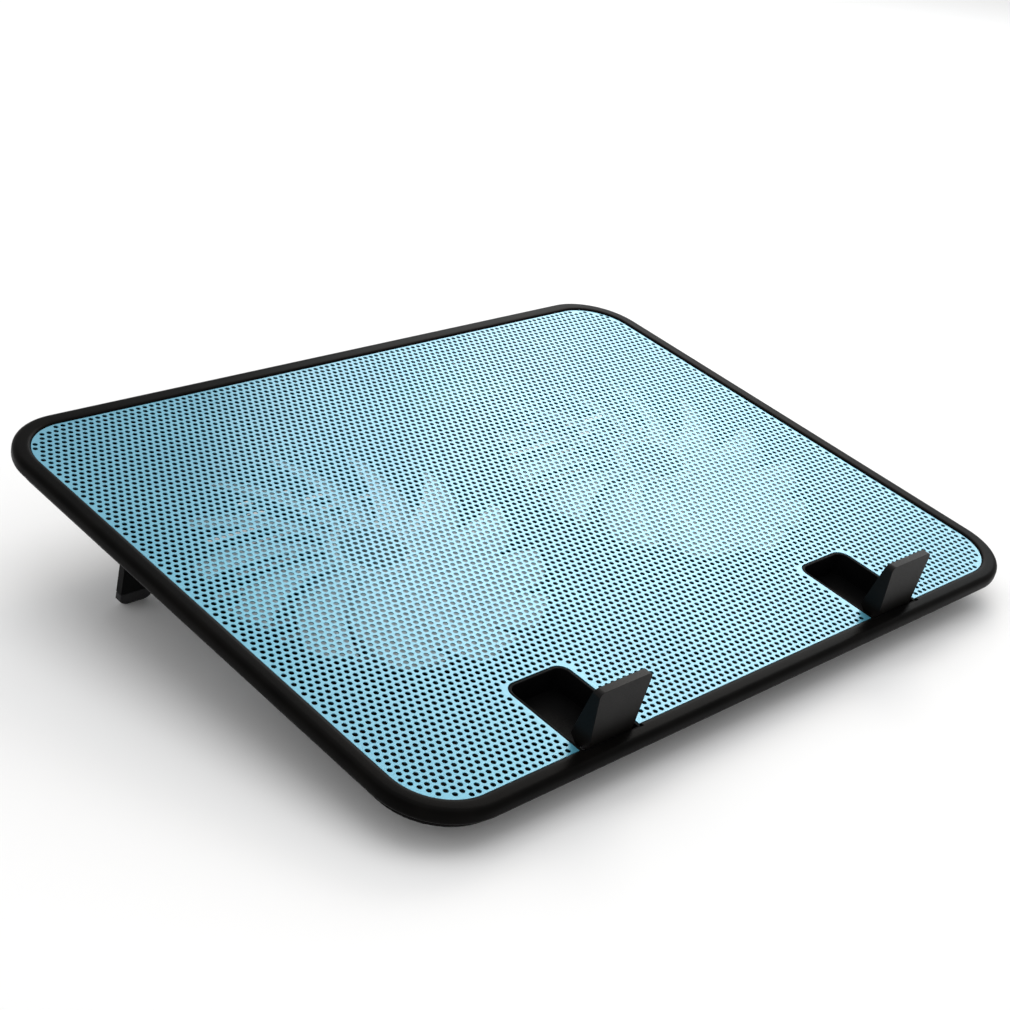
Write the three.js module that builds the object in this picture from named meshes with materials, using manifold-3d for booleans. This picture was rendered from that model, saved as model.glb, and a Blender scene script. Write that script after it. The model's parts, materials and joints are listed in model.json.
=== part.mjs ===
// Laptop cooling pad: a tilted tray with a perforated top sheet, two large slim fans,
// two fold-down stops at the front edge and two fold-out feet at the rear.
//
// Everything is built in the pad's own frame, in millimetres: the origin is the centre of the
// sheet's top face, +X runs to the user's right, +Y to the rear, +Z straight out of the sheet.
// The whole pad is then tilted about X until its front pads and its feet stand on one plane.

import * as THREE from 'three';
import { mergeVertices } from 'three/addons/utils/BufferGeometryUtils.js';
import Module from 'manifold-3d';

const wasm = await Module();
wasm.setup();

// ---------------------------------------------------------------- driving dimensions (mm)
const GAP = 0.3;                 // air left between two pieces that touch
const SIDES = [{ name: 'left', sign: -1 }, { name: 'right', sign: 1 }];

const PAD = { halfX: 174, halfY: 132.5, radius: 29 };
const LIP = { width: 7, top: 0.8, bottom: -5 };
const LEDGE = { inset: 11, top: -0.9, bottom: -3 };
const SHEET = { top: 0, bottom: -0.6 };

const TRAY = { top: LIP.bottom - GAP, knee: -8, bottom: -19, floor: -17.2 };
const TRAY_INSET = { outer: 3.6, inner: 5.1 };
const TRAY_BASE = { halfX: 156, front: -110, rear: 124, radius: 20 };
const TRAY_WELL = { halfX: 154.2, front: -108.5, rear: 122.2, radius: 19 };

const FAN = { x: 82, y: 5, blades: 13, tipR: 70, hubR: 18, hubTop: -3.3, hubBottom: -13.2 };
const LABEL = { r: 13.5, thickness: 0.4 };
const SHAFT = { r: 1.5, foot: TRAY.floor + 0.8 };
const BEARING = { inner: 1.8, outer: 3.6, lower: 0.9 };
const MAGNET = { inner: 14.4, outer: 16.1 };
const HUB_WALL = 1.6;
const STATOR = { poles: 4, hole: 4, coreR: 6.4, neckR: 10.8, outerR: 13.5, over: 1.2, under: 1.4 };
const BLADE = { top: -3.7, bottom: -10.5, thickness: 1.3, sections: 5, sweep: 26, rooted: 0.6 };
const DUCT = { inner: 72.5, outer: 74, top: -3.5 };
const SLOT = { pitch: 8, width: 4.4, reach: 66, hubClear: 27, rib: 5, shortest: 8, top: -15 };
const SLOT_EDGE = { duct: 2, pocketSide: 4, pocketFront: 3 };

const WELL = { x: 85, halfX: 13.7, rear: -87.7, front: -126.1, corner: 4, wall: 1.2, skin: 1 };
const WELL_FLOOR = { front: -6.4, stepFront: -123.4, stepRear: -120.4, rear: -9.7 };
const STOP = { front: -125.8, top: 23.5, topHalf: 13.2, baseHalf: 10.8, corner: 2, wall: 2 };
const STOP_DEPTH = { tip: 3.2, root: 9.1, skin: 0.8 };
const STOP_HINGE = { y: -122.9, z: -3, barrelR: 2.8, barrelHalf: 10.4, pinR: 1 };

const FOOT = { x: 138, halfX: 7.5, front: 71.2, rear: 74.6, tip: -53.3, tipDrop: 2.1, shoe: 5 };
const FOOT_HINGE = { y: 72.9, z: -14.6, knuckleR: 1.7, pinR: 0.7 };
const POCKET = { halfX: 8, front: 32.5, rear: 74.9, ceiling: -12.3, wall: 1.3, skin: 1 };

const RIB = { xs: [-150, 0, 150], halfX: 0.8, front: -100, rear: -76, height: 5 };
const LEAD_NOTCH = { halfX: 3, height: 4, front: 5, rear: 3 };
const DEEP = -25;                // any height below the cover, for cuts from underneath
const ROOTED = 0.5;              // how far a piece of the cover reaches into its floor

const REST_PAD = { r: 6, bottom: -21, sunk: 0.6 };
const FRONT_PAD = { x: 110, y: -98 };
const REAR_PAD = { x: 128, y: 104 };

const USB = { xs: [46, 66], z: -11.8, halfX: 7.2, halfZ: 3.5, mouth: 127.2, length: 14, wall: 0.8 };
const USB_CUT = { front: 116, rear: 135 };
const USB_TONGUE = { halfX: 5.2, low: 0.2, high: 1.8 };
const BOARD = { x0: 28, x1: 88, y0: 96, y1: 121.5, bottom: TRAY.floor + GAP, thickness: 1.3 };
const MOTOR_BOARD = { r: 20, hole: 4.2, thickness: 1.2 };
const LEAD = { r: 1.1, z: TRAY.floor + 1.4 };

const SCREW = { inset: 7.5, headR: 2.5, headTop: -8.5, headHeight: 1.7, shankR: 1.2, tip: -2.3 };
const BOSS_R = 3.45;

// The pad stands on the front edge of its front pads and on the lowest edge of its feet.
const TILT = Math.atan2(
  REST_PAD.bottom - FOOT.tip,
  FOOT.front - (FRONT_PAD.y - REST_PAD.r),
);

// ---------------------------------------------------------------- materials
const finish = (color, roughness, metalness = 0) =>
  new THREE.MeshStandardMaterial({ color, roughness, metalness });

const MAT = {
  frame: finish(0x141312, 0.38),
  tray: finish(0x17171a, 0.6),
  sheet: finish(0x5ba9bd, 0.35, 0.6),
  stop: finish(0x1c1a19, 0.45),
  foot: finish(0x161616, 0.55),
  rubber: finish(0x222224, 0.95),
  fan: finish(0x86b9c4, 0.3),
  label: finish(0x3a4448, 0.5),
  steel: finish(0xb4b8bc, 0.3, 1),
  brass: finish(0xb58b3e, 0.35, 1),
  magnet: finish(0x3b3b3e, 0.7, 0.3),
  stator: finish(0x6b4a34, 0.5, 0.4),
  board: finish(0x1d5c3a, 0.5),
  cable: finish(0x101010, 0.6),
};

// ---------------------------------------------------------------- geometry helpers
function toSolid(geometry) {
  const bare = geometry.index ? geometry.toNonIndexed() : geometry.clone();
  for (const key of Object.keys(bare.attributes)) {
    if (key !== 'position') bare.deleteAttribute(key);
  }
  const merged = mergeVertices(bare, 1e-4);
  const mesh = new wasm.Mesh({
    numProp: 3,
    vertProperties: new Float32Array(merged.attributes.position.array),
    triVerts: new Uint32Array(merged.index.array),
  });
  return new wasm.Manifold(mesh);
}

function toGeometry(solid) {
  const mesh = solid.getMesh();
  const geometry = new THREE.BufferGeometry();
  geometry.setAttribute('position', new THREE.BufferAttribute(mesh.vertProperties, 3));
  geometry.setIndex(new THREE.BufferAttribute(mesh.triVerts, 1));
  geometry.computeVertexNormals();
  return geometry;
}

const join = (first, ...rest) => rest.reduce((sum, g) => sum.add(toSolid(g)), toSolid(first));
const cut = (solid, ...tools) => tools.reduce((left, g) => left.subtract(toSolid(g)), solid);

function block(x0, x1, y0, y1, z0, z1) {
  const geometry = new THREE.BoxGeometry(x1 - x0, y1 - y0, z1 - z0);
  return geometry.translate((x0 + x1) / 2, (y0 + y1) / 2, (z0 + z1) / 2);
}

function rodZ(r, z0, z1, x, y, sides = 24) {
  const geometry = new THREE.CylinderGeometry(r, r, z1 - z0, sides);
  return geometry.rotateX(Math.PI / 2).translate(x, y, (z0 + z1) / 2);
}

function rodX(r, x0, x1, y, z, sides = 20) {
  const geometry = new THREE.CylinderGeometry(r, r, x1 - x0, sides);
  return geometry.rotateZ(Math.PI / 2).translate((x0 + x1) / 2, y, z);
}

// A solid of revolution about a vertical axis at (x, y); the profile is [radius, z] pairs and
// either closes on itself or starts and ends on the axis.
function turned(profile, x, y, sides = 48) {
  const points = profile.map(([r, z]) => new THREE.Vector2(r, z));
  return new THREE.LatheGeometry(points, sides).rotateX(Math.PI / 2).translate(x, y, 0);
}

function ring(inner, outer, z0, z1, x, y, sides = 48) {
  return turned([[inner, z0], [outer, z0], [outer, z1], [inner, z1], [inner, z0]], x, y, sides);
}

// Points of a rounded rectangle at height z, anticlockwise from the right-hand side.
function roundedOutline({ x0, x1, y0, y1, radius, z }, steps = 7) {
  const corners = [
    [x1 - radius, y1 - radius, 0],
    [x0 + radius, y1 - radius, 90],
    [x0 + radius, y0 + radius, 180],
    [x1 - radius, y0 + radius, 270],
  ];
  return corners.flatMap(([cx, cy, start]) =>
    Array.from({ length: steps + 1 }, (_, i) => {
      const angle = THREE.MathUtils.degToRad(start + (90 * i) / steps);
      return [cx + radius * Math.cos(angle), cy + radius * Math.sin(angle), z];
    }));
}

// The pad's own outline moved inwards by inset.
const padOutline = (inset, z) => roundedOutline({
  x0: inset - PAD.halfX, x1: PAD.halfX - inset,
  y0: inset - PAD.halfY, y1: PAD.halfY - inset,
  radius: PAD.radius - inset, z,
});

const baseOutline = ({ halfX, front, rear, radius }, z) => roundedOutline({
  x0: -halfX, x1: halfX, y0: front, y1: rear, radius, z,
});

// Skins a row of outlines with equal point counts. A capped skin is closed by a fan at each
// end; an uncapped one joins its last outline to its first.
function loft(outlines, capped) {
  const count = outlines[0].length;
  const positions = outlines.flat(2);
  const index = [];
  const bands = capped ? outlines.length - 1 : outlines.length;
  for (let band = 0; band < bands; band += 1) {
    const low = band * count;
    const high = ((band + 1) % outlines.length) * count;
    for (let i = 0; i < count; i += 1) {
      const j = (i + 1) % count;
      index.push(low + i, low + j, high + j, low + i, high + j, high + i);
    }
  }
  if (capped) {
    const last = (outlines.length - 1) * count;
    for (let i = 1; i < count - 1; i += 1) {
      index.push(0, i + 1, i);
      index.push(last, last + i, last + i + 1);
    }
  }
  const geometry = new THREE.BufferGeometry();
  geometry.setAttribute('position', new THREE.Float32BufferAttribute(positions, 3));
  geometry.setIndex(index);
  return geometry;
}

// A flat outline in the XY plane raised from z0 to z1.
function slab(shape, z0, z1, curveSegments = 6) {
  const geometry = new THREE.ExtrudeGeometry(shape, {
    depth: z1 - z0, bevelEnabled: false, curveSegments,
  });
  return geometry.translate(0, 0, z0);
}

// A flat outline in the XZ plane given thickness from y0 to y1.
function wall(shape, y0, y1, curveSegments = 8) {
  const geometry = new THREE.ExtrudeGeometry(shape, {
    depth: y1 - y0, bevelEnabled: false, curveSegments,
  });
  return geometry.rotateX(Math.PI / 2).translate(0, y1, 0);
}

// A side outline of [y, z] pairs, anticlockwise or not, given width from x0 to x1.
function prismX(points, x0, x1) {
  const shape = new THREE.Shape(points.map(([y, z]) => new THREE.Vector2(y, z)));
  const geometry = new THREE.ExtrudeGeometry(shape, { depth: x1 - x0, bevelEnabled: false });
  const toSide = new THREE.Matrix4().makeBasis(
    new THREE.Vector3(0, 1, 0), new THREE.Vector3(0, 0, 1), new THREE.Vector3(1, 0, 0),
  );
  return geometry.applyMatrix4(toSide).translate(x0, 0, 0);
}

// ---------------------------------------------------------------- the pad's scene
const pad = new THREE.Group();

function addPiece(name, solidOrGeometry, material, parent = pad) {
  const geometry = solidOrGeometry.isBufferGeometry
    ? solidOrGeometry
    : toGeometry(solidOrGeometry);
  const mesh = new THREE.Mesh(geometry, material);
  mesh.name = name;
  parent.add(mesh);
  return mesh;
}

// ---------------------------------------------------------------- screws and their places
function screwPlaces() {
  const arcX = PAD.halfX - PAD.radius;
  const arcY = PAD.halfY - PAD.radius;
  const reach = (PAD.radius - SCREW.inset) * Math.SQRT1_2;
  const places = [];
  for (const sx of [-1, 1]) {
    for (const sy of [-1, 1]) {
      places.push([sx * (arcX + reach), sy * (arcY + reach)]);
    }
  }
  places.push([0, SCREW.inset - PAD.halfY], [0, PAD.halfY - SCREW.inset]);
  places.push([SCREW.inset - PAD.halfX, 0], [PAD.halfX - SCREW.inset, 0]);
  return places;
}

function addScrews() {
  const bottom = SCREW.headTop - SCREW.headHeight;
  screwPlaces().forEach(([x, y], i) => {
    const profile = [
      [0, bottom], [SCREW.headR * 0.7, bottom], [SCREW.headR, bottom + 0.6],
      [SCREW.headR, SCREW.headTop], [SCREW.shankR, SCREW.headTop],
      [SCREW.shankR, SCREW.tip - 0.8], [0, SCREW.tip],
    ];
    addPiece(`cover_screw_${i + 1}`, turned(profile, x, y, 12), MAT.steel);
  });
}

// ---------------------------------------------------------------- top frame and sheet
const WELL_OUTER = WELL.halfX + WELL.wall;
const wellNotch = (sign, halfX, front, rear) => {
  const x = sign * WELL.x;
  return block(x - halfX, x + halfX, front, rear, LIP.bottom - 1, LIP.top + 1);
};

function addTopFrame() {
  const section = [
    [0, -3.4], [0, -1.4], [0.7, 0.1], [2.2, LIP.top], [5.4, LIP.top], [6.6, 0.5],
    [LIP.width, SHEET.top], [LIP.width, LEDGE.top], [LEDGE.inset, LEDGE.top],
    [LEDGE.inset, LEDGE.bottom], [10, LIP.bottom], [1.2, LIP.bottom], [0.35, -4.5],
  ];
  // The section runs round the frame from its outer side over the top to the inside.
  const frame = toSolid(loft(section.map(([inset, z]) => padOutline(inset, z)), false));
  const notches = SIDES.map(({ sign }) =>
    wellNotch(sign, WELL_OUTER + GAP, WELL.front - WELL.skin - GAP, WELL.rear));
  const holes = screwPlaces().map(([x, y]) =>
    rodZ(SCREW.shankR + GAP, LIP.bottom - 1, SCREW.tip + GAP, x, y, 12));
  addPiece('top_frame', cut(frame, ...notches, ...holes), MAT.frame);
}

function addSheet() {
  const inset = LIP.width + GAP;
  const panel = toSolid(loft([padOutline(inset, SHEET.bottom), padOutline(inset, SHEET.top)], true));
  const notches = SIDES.map(({ sign }) =>
    wellNotch(sign, WELL_OUTER + GAP, -PAD.halfY, WELL.rear + WELL.wall + GAP));
  addPiece('mesh_panel', cut(panel, ...notches), MAT.sheet);
}

// ---------------------------------------------------------------- bottom cover
// Air slots under one fan: rows across the fan's circle, broken by the motor seat, by a
// middle rib and, on the outer side, by the foot's pocket.
function slotBlocks(sign) {
  const cx = sign * FAN.x;
  const blocks = [];
  const rows = Math.floor(SLOT.reach / SLOT.pitch);
  for (let row = -rows; row <= rows; row += 1) {
    const dy = row * SLOT.pitch;
    const y = FAN.y + dy;
    const chord = Math.sqrt(SLOT.reach ** 2 - dy ** 2) - SLOT_EDGE.duct;
    const seat = Math.abs(dy) < SLOT.hubClear ? Math.sqrt(SLOT.hubClear ** 2 - dy ** 2) : 0;
    const inner = Math.max(seat, SLOT.rib);
    const besidePocket = y + SLOT.width > POCKET.front - SLOT_EDGE.pocketFront;
    const outerLimit = FOOT.x - POCKET.halfX - SLOT_EDGE.pocketSide - FAN.x;
    for (const side of [-1, 1]) {
      const outwards = side === sign;
      const reach = outwards && besidePocket ? Math.min(chord, outerLimit) : chord;
      if (reach - inner < SLOT.shortest) continue;
      const xs = [cx + side * inner, cx + side * reach].sort((a, b) => a - b);
      blocks.push(block(xs[0], xs[1], y - SLOT.width / 2, y + SLOT.width / 2, DEEP, SLOT.top));
    }
  }
  return blocks;
}

function addBottomCover() {
  const outside = loft([
    baseOutline(TRAY_BASE, TRAY.bottom),
    padOutline(TRAY_INSET.outer, TRAY.knee),
    padOutline(TRAY_INSET.outer - 0.2, TRAY.top),
  ], true);
  const inside = loft([
    baseOutline(TRAY_WELL, TRAY.floor),
    padOutline(TRAY_INSET.inner, TRAY.knee),
    padOutline(TRAY_INSET.inner - 0.2, TRAY.top + 1),
  ], true);
  let cover = cut(toSolid(outside), inside);

  const additions = [];
  for (const [x, y] of screwPlaces()) {
    additions.push(rodZ(BOSS_R, TRAY.bottom, TRAY.top, x, y, 16));
  }
  for (const { sign } of SIDES) {
    additions.push(ring(
      DUCT.inner, DUCT.outer, TRAY.floor - ROOTED, DUCT.top, sign * FAN.x, FAN.y,
    ));
    const x = sign * FOOT.x;
    const half = POCKET.halfX + POCKET.wall;
    additions.push(block(
      x - half, x + half, POCKET.front - POCKET.wall, POCKET.rear + POCKET.wall,
      TRAY.bottom, POCKET.ceiling + POCKET.skin,
    ));
  }
  for (const x of RIB.xs) {
    additions.push(block(
      x - RIB.halfX, x + RIB.halfX, RIB.front, RIB.rear,
      TRAY.floor - ROOTED, TRAY.floor + RIB.height,
    ));
  }
  const inEnvelope = join(...additions).intersect(toSolid(outside));
  cover = cover.add(inEnvelope);

  const cuts = [];
  for (const { sign } of SIDES) {
    const x = sign * FOOT.x;
    cuts.push(block(
      x - POCKET.halfX, x + POCKET.halfX, POCKET.front, POCKET.rear, DEEP, POCKET.ceiling,
    ));
    const pinHalf = POCKET.halfX + POCKET.wall - GAP;
    cuts.push(rodX(FOOT_HINGE.pinR + GAP, x - pinHalf, x + pinHalf, FOOT_HINGE.y, FOOT_HINGE.z));
    cuts.push(...slotBlocks(sign));
    const ductRear = FAN.y + DUCT.outer;
    cuts.push(block(
      sign * FAN.x - LEAD_NOTCH.halfX, sign * FAN.x + LEAD_NOTCH.halfX,
      ductRear - LEAD_NOTCH.front, ductRear + LEAD_NOTCH.rear, TRAY.floor, TRAY.floor + LEAD_NOTCH.height,
    ));
    for (const place of [FRONT_PAD, REAR_PAD]) {
      cuts.push(rodZ(
        REST_PAD.r + GAP, TRAY.bottom - 1, TRAY.bottom + REST_PAD.sunk, sign * place.x, place.y,
      ));
    }
  }
  for (const [x, y] of screwPlaces()) {
    cuts.push(rodZ(SCREW.headR + 0.5, DEEP, SCREW.headTop + GAP, x, y, 16));
    cuts.push(rodZ(SCREW.shankR + GAP, SCREW.headTop, TRAY.top + 1, x, y, 12));
  }
  for (const x of USB.xs) {
    cuts.push(block(
      x - USB.halfX - GAP, x + USB.halfX + GAP, USB_CUT.front, USB_CUT.rear,
      USB.z - USB.halfZ - GAP, USB.z + USB.halfZ + GAP,
    ));
  }
  addPiece('bottom_cover', cut(cover, ...cuts), MAT.tray);
}

// ---------------------------------------------------------------- stops and their wells
// The well in plan: square at the front, where the frame's rim passes, and rounded at the rear.
function wellPlan(x, halfX, front, rear, corner) {
  const shape = new THREE.Shape();
  shape.moveTo(x - halfX, front);
  shape.lineTo(x + halfX, front);
  shape.absarc(x + halfX - corner, rear - corner, corner, 0, Math.PI / 2);
  shape.absarc(x - halfX + corner, rear - corner, corner, Math.PI / 2, Math.PI);
  return shape;
}

// What lies under the well's floor, which drops behind the hinge to take the folded wedge.
function underFloor(x, lower) {
  const { front, stepFront, stepRear, rear } = WELL_FLOOR;
  const shift = lower ? WELL.skin * 0.4 : 0;
  return prismX([
    [-PAD.halfY, front - lower], [-PAD.halfY, DEEP], [0, DEEP], [0, rear - lower],
    [stepRear - shift, rear - lower], [stepFront - shift, front - lower],
  ], x - WELL_OUTER - 1, x + WELL_OUTER + 1);
}

function addWell({ name, sign }) {
  const x = sign * WELL.x;
  const { halfX, front, rear, corner, wall: t, skin } = WELL;
  const low = WELL_FLOOR.rear - skin;
  const outer = slab(
    wellPlan(x, WELL_OUTER, front - skin, rear + t, corner + t), low, SHEET.top - 0.1,
  );
  const inner = slab(wellPlan(x, halfX, front, rear, corner), low, LIP.top + 1);
  const pinHalf = WELL_OUTER - GAP;
  const { y, z, pinR } = STOP_HINGE;
  const bore = rodX(pinR + GAP, x - pinHalf, x + pinHalf, y, z);
  const shell = cut(toSolid(outer), underFloor(x, skin));
  const hollow = cut(toSolid(inner), underFloor(x, 0));
  addPiece(`stop_well_${name}`, cut(shell.subtract(hollow), bore), MAT.tray);
  addPiece(`stop_pin_${name}`, rodX(pinR, x - pinHalf + GAP, x + pinHalf - GAP, y, z), MAT.steel);
}

// The front of a stop: it widens slightly towards its top, which has rounded corners.
function stopFace(x, inset) {
  const { topHalf, baseHalf, corner, top } = STOP;
  const half = topHalf - inset;
  const high = top - inset;
  const r = corner;
  const shape = new THREE.Shape();
  shape.moveTo(x - baseHalf + inset, STOP_HINGE.z);
  shape.lineTo(x + baseHalf - inset, STOP_HINGE.z);
  shape.lineTo(x + half, high - r);
  shape.quadraticCurveTo(x + half, high, x + half - r, high);
  shape.lineTo(x - half + r, high);
  shape.quadraticCurveTo(x - half, high, x - half, high - r);
  return shape;
}

// A wedge, thick at the hinge and thin at the top, and hollow at its back.
function addStop({ name, sign }) {
  const x = sign * WELL.x;
  const { y, z, barrelR, barrelHalf, pinR } = STOP_HINGE;
  const { front, top, wall: t } = STOP;
  const { tip, root, skin } = STOP_DEPTH;
  const across = [x - WELL_OUTER, x + WELL_OUTER];
  const side = prismX([
    [front, z - 1.2], [y + 2, z - 1.2], [front + root, SHEET.top + 0.2], [front + tip, top],
    [front, top],
  ], x - WELL.halfX, x + WELL.halfX);
  const wedge = toSolid(wall(stopFace(x, 0), front, front + root)).intersect(toSolid(side));
  const hollow = toSolid(wall(stopFace(x, t), front + tip - skin, front + root + 1));
  const aboveRoot = hollow.subtract(toSolid(block(...across, -PAD.halfY, 0, DEEP, t)));
  const barrel = rodX(barrelR, x - barrelHalf, x + barrelHalf, y, z);
  const stop = wedge.subtract(aboveRoot).add(toSolid(barrel));
  addPiece(`stop_${name}`, cut(stop, rodX(pinR + GAP, ...across, y, z)), MAT.stop);
}

// ---------------------------------------------------------------- fold-out feet
function addFoot({ name, sign }) {
  const x = sign * FOOT.x;
  const { y, z, knuckleR, pinR } = FOOT_HINGE;
  const shoeTop = FOOT.tip + FOOT.shoe;
  const leg = block(x - FOOT.halfX, x + FOOT.halfX, FOOT.front, FOOT.rear, shoeTop + GAP, z);
  const knuckle = rodX(knuckleR, x - FOOT.halfX, x + FOOT.halfX, y, z);
  const bore = rodX(pinR + GAP, x - FOOT.halfX - 1, x + FOOT.halfX + 1, y, z);
  addPiece(`foot_${name}`, cut(join(leg, knuckle), bore), MAT.foot);

  // The rubber shoe has a gently rounded lower edge.
  const shape = new THREE.Shape();
  const side = FOOT.tip + FOOT.tipDrop;
  shape.moveTo(x + FOOT.halfX, shoeTop);
  shape.lineTo(x - FOOT.halfX, shoeTop);
  shape.lineTo(x - FOOT.halfX, side);
  shape.quadraticCurveTo(x - FOOT.halfX + 1.5, FOOT.tip, x - FOOT.halfX * 0.4, FOOT.tip);
  shape.lineTo(x + FOOT.halfX * 0.4, FOOT.tip);
  shape.quadraticCurveTo(x + FOOT.halfX - 1.5, FOOT.tip, x + FOOT.halfX, side);
  addPiece(`foot_shoe_${name}`, wall(shape, FOOT.front, FOOT.rear, 5), MAT.rubber);

  const pinHalf = POCKET.halfX + POCKET.wall - 2 * GAP;
  addPiece(`foot_pin_${name}`, rodX(pinR, x - pinHalf, x + pinHalf, y, z), MAT.steel);
}

function addRestPads() {
  const top = TRAY.bottom + REST_PAD.sunk - GAP;
  for (const { name, sign } of SIDES) {
    for (const [end, place] of [['front', FRONT_PAD], ['rear', REAR_PAD]]) {
      const geometry = rodZ(REST_PAD.r, REST_PAD.bottom, top, sign * place.x, place.y, 32);
      addPiece(`rubber_pad_${end}_${name}`, geometry, MAT.rubber);
    }
  }
}

// ---------------------------------------------------------------- fans
// One blade as a skin of slanted sections from the hub to the tip. It sweeps forwards as it
// goes out, and is widest at two thirds of its length.
function bladeGeometry(startAngle) {
  const rootR = FAN.hubR - BLADE.rooted;
  const sections = [];
  for (let s = 0; s <= BLADE.sections; s += 1) {
    const t = s / BLADE.sections;
    const r = rootR + (FAN.tipR - rootR) * t;
    const sweep = THREE.MathUtils.degToRad(BLADE.sweep * t ** 1.2);
    const width = 8.5 + 11 * Math.sin(Math.PI * Math.min(1, 0.1 + 0.55 * t)) - 3 * t ** 4;
    const half = width / r / 2;
    const lead = startAngle + sweep + half;
    const trail = startAngle + sweep - half;
    const low = BLADE.bottom + 0.5 * t;
    const corner = (angle, z) => [r * Math.cos(angle), r * Math.sin(angle), z];
    sections.push([
      corner(trail, low), corner(trail, low + BLADE.thickness),
      corner(lead, BLADE.top), corner(lead, BLADE.top - BLADE.thickness),
    ]);
  }
  return loft(sections.reverse(), true);
}

function rotorSolid() {
  const hub = turned([
    [0, FAN.hubTop], [FAN.hubR - 1, FAN.hubTop], [FAN.hubR, FAN.hubTop - 0.9],
    [FAN.hubR, FAN.hubBottom], [FAN.hubR - HUB_WALL, FAN.hubBottom],
    [FAN.hubR - HUB_WALL, FAN.hubTop - HUB_WALL], [0, FAN.hubTop - HUB_WALL],
  ].reverse(), 0, 0);
  const blades = Array.from({ length: FAN.blades }, (_, i) =>
    bladeGeometry((i * 2 * Math.PI) / FAN.blades));
  return join(hub, ...blades);
}

// Poles with wide shoes round a core; each [radius, turn] step is measured from its pole's middle.
function statorShape() {
  const { poles, hole: holeR, coreR, neckR, outerR } = STATOR;
  const half = [[outerR, 0.6], [neckR, 0.66], [neckR, 0.22], [coreR, 0.4], [coreR, 0.62]];
  const mirrored = half.map(([r, turn]) => [r, -turn]).reverse();
  const steps = [...mirrored, [outerR, 0], ...half];
  const shape = new THREE.Shape();
  for (let p = 0; p < poles; p += 1) {
    const middle = (p * 2 * Math.PI) / poles;
    steps.forEach(([r, turn], i) => {
      const x = r * Math.cos(middle + turn);
      const y = r * Math.sin(middle + turn);
      if (p === 0 && i === 0) shape.moveTo(x, y);
      else shape.lineTo(x, y);
    });
  }
  const hole = new THREE.Path();
  hole.absarc(0, 0, holeR, 0, 2 * Math.PI, true);
  shape.holes.push(hole);
  return shape;
}

function addFan({ name, sign }) {
  const x = sign * FAN.x;
  const fan = new THREE.Group();
  fan.position.set(x, FAN.y, 0);
  pad.add(fan);
  const underTop = FAN.hubTop - HUB_WALL - GAP;
  const boardTop = TRAY.floor + GAP + MOTOR_BOARD.thickness;

  addPiece(`fan_rotor_${name}`, rotorSolid(), MAT.fan, fan);
  const labelBottom = FAN.hubTop + GAP;
  const label = rodZ(LABEL.r, labelBottom, labelBottom + LABEL.thickness, 0, 0, 40);
  addPiece(`fan_label_${name}`, label, MAT.label, fan);
  const magnet = ring(MAGNET.inner, MAGNET.outer, FAN.hubBottom, underTop, 0, 0);
  addPiece(`fan_magnet_${name}`, magnet, MAT.magnet, fan);
  addPiece(`fan_shaft_${name}`, rodZ(SHAFT.r, SHAFT.foot, underTop, 0, 0, 16), MAT.steel, fan);
  const bearingTop = underTop - BEARING.lower;
  const bearing = ring(BEARING.inner, BEARING.outer, TRAY.floor + GAP, bearingTop, 0, 0, 24);
  addPiece(`fan_bearing_${name}`, bearing, MAT.brass, fan);
  const stator = slab(statorShape(), boardTop + STATOR.over, underTop - STATOR.under, 5);
  addPiece(`fan_stator_${name}`, stator, MAT.stator, fan);
  const board = ring(MOTOR_BOARD.hole, MOTOR_BOARD.r, TRAY.floor + GAP, boardTop, 0, 0, 32);
  addPiece(`fan_motor_board_${name}`, board, MAT.board, fan);
}

// ---------------------------------------------------------------- USB board, sockets, leads
function addSocket(x, i) {
  const { halfX, halfZ, z, mouth, length, wall: t } = USB;
  const body = toSolid(block(x - halfX, x + halfX, mouth - length, mouth, z - halfZ, z + halfZ));
  const room = block(
    x - halfX + t, x + halfX - t, mouth - length + 2, mouth + 1, z - halfZ + t, z + halfZ - t,
  );
  const tongue = block(
    x - USB_TONGUE.halfX, x + USB_TONGUE.halfX, mouth - length + 1, mouth - 2,
    z + USB_TONGUE.low, z + USB_TONGUE.high,
  );
  addPiece(`usb_socket_${i + 1}`, cut(body, room).add(toSolid(tongue)), MAT.steel);
}

function leadGeometry(points) {
  const path = new THREE.CatmullRomCurve3(points.map(([x, y]) => new THREE.Vector3(x, y, LEAD.z)));
  const section = new THREE.Shape();
  section.absarc(0, 0, LEAD.r, 0, 2 * Math.PI);
  return new THREE.ExtrudeGeometry(section, {
    steps: points.length * 3, extrudePath: path, curveSegments: 4, bevelEnabled: false,
  });
}

function addElectronics() {
  const { x0, x1, y0, y1, bottom, thickness } = BOARD;
  addPiece('usb_board', block(x0, x1, y0, y1, bottom, bottom + thickness), MAT.board);
  USB.xs.forEach(addSocket);

  const start = FAN.y + MOTOR_BOARD.r + GAP;
  const leftRoute = [
    [-FAN.x, start], [-FAN.x, 50], [-FAN.x, 74], [-FAN.x, 84], [-70, 95], [-40, 104],
    [0, 108], [x0 - GAP, 108],
  ];
  const rightRoute = [[FAN.x, start], [FAN.x, 50], [FAN.x, 74], [FAN.x, 84], [FAN.x, y0 - GAP]];
  addPiece('fan_lead_left', leadGeometry(leftRoute), MAT.cable);
  addPiece('fan_lead_right', leadGeometry(rightRoute), MAT.cable);
}

// ---------------------------------------------------------------- assembly
addTopFrame();
addSheet();
addBottomCover();
for (const side of SIDES) {
  addWell(side);
  addStop(side);
  addFoot(side);
  addFan(side);
}
addRestPads();
addElectronics();
addScrews();

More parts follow.
